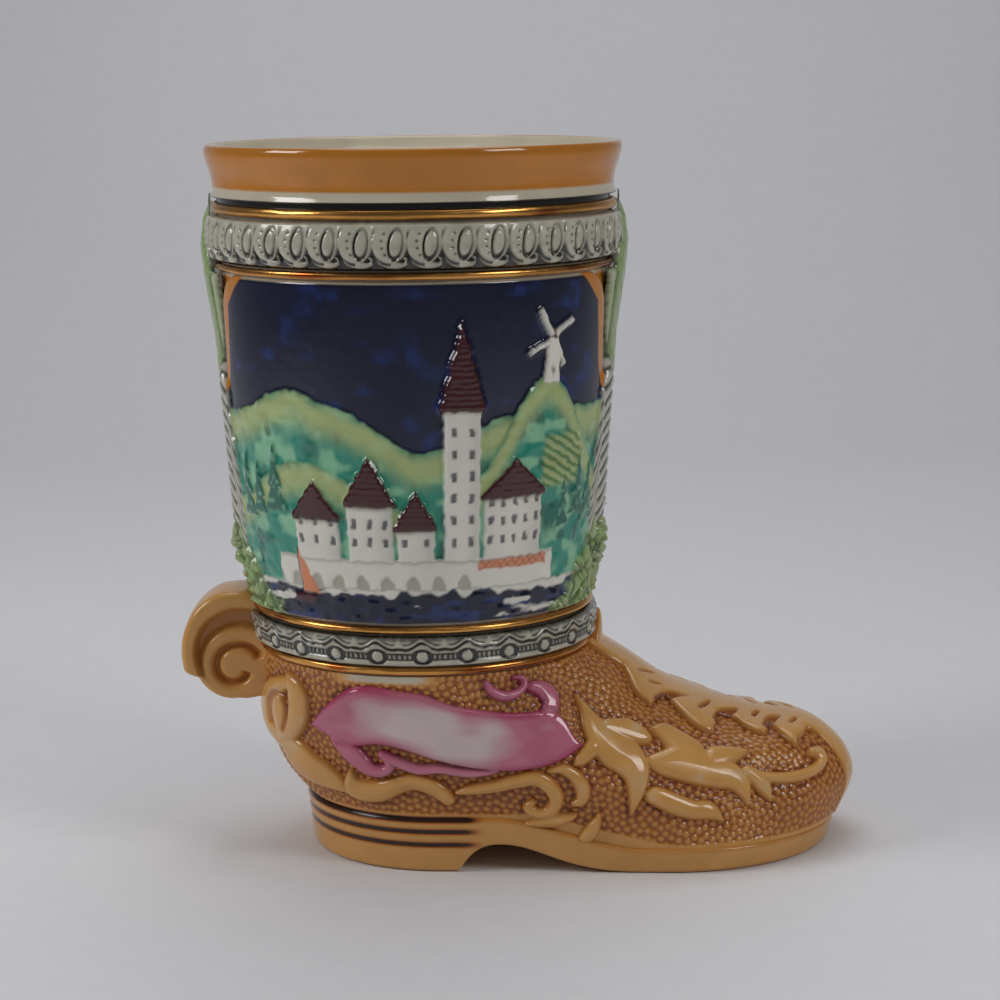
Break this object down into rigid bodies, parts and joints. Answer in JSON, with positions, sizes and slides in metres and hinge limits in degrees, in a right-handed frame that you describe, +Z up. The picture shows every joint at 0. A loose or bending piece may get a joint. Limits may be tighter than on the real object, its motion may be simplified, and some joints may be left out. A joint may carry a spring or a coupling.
{
  "type": "boot beer mug",
  "caption": "Glazed ceramic drinking mug shaped as a spurred boot: a hollow leg and foot with relief borders, picture panels, ribbon and scrollwork.",
  "frame": {"origin": "on the floor under the leg's axis, on the heel's flat underside", "axes": "+X from heel to toe, +Y to the boot's left side, +Z up through the leg"},
  "size_m": [0.1357, 0.082, 0.1406],
  "materials": {
    "ivory_glaze": "gloss",
    "orange_glaze": "gloss",
    "tan_glaze": "gloss",
    "grey_glaze": "gloss",
    "gold_lustre": "polished",
    "painted_glaze": "gloss",
    "green_glaze": "gloss",
    "pink_glaze": "gloss"
  },
  "bodies": {
    "root": {"leg": "ivory_glaze", "rim_collar": "orange_glaze", "foot": "tan_glaze", "sole": "tan_glaze", "heel": "tan_glaze", "spur": "tan_glaze", "gilt_bead_ankle": "gold_lustre", "lower_border": "grey_glaze", "gilt_bead_lower": "gold_lustre", "gilt_bead_upper": "gold_lustre", "upper_border": "grey_glaze", "gilt_bead_neck": "gold_lustre", "picture_panel_right": "painted_glaze", "picture_panel_left": "painted_glaze", "tree_sprig_front": "green_glaze", "tree_sprig_back": "green_glaze", "instep_leaf": "tan_glaze", "ribbon_right": "pink_glaze", "ribbon_left": "pink_glaze", "heel_scroll_right": "tan_glaze", "heel_scroll_left": "tan_glaze", "welt_scroll_right": "tan_glaze", "welt_scroll_left": "tan_glaze", "acanthus_right": "tan_glaze", "acanthus_left": "tan_glaze"}
  },
  "joints": []
}
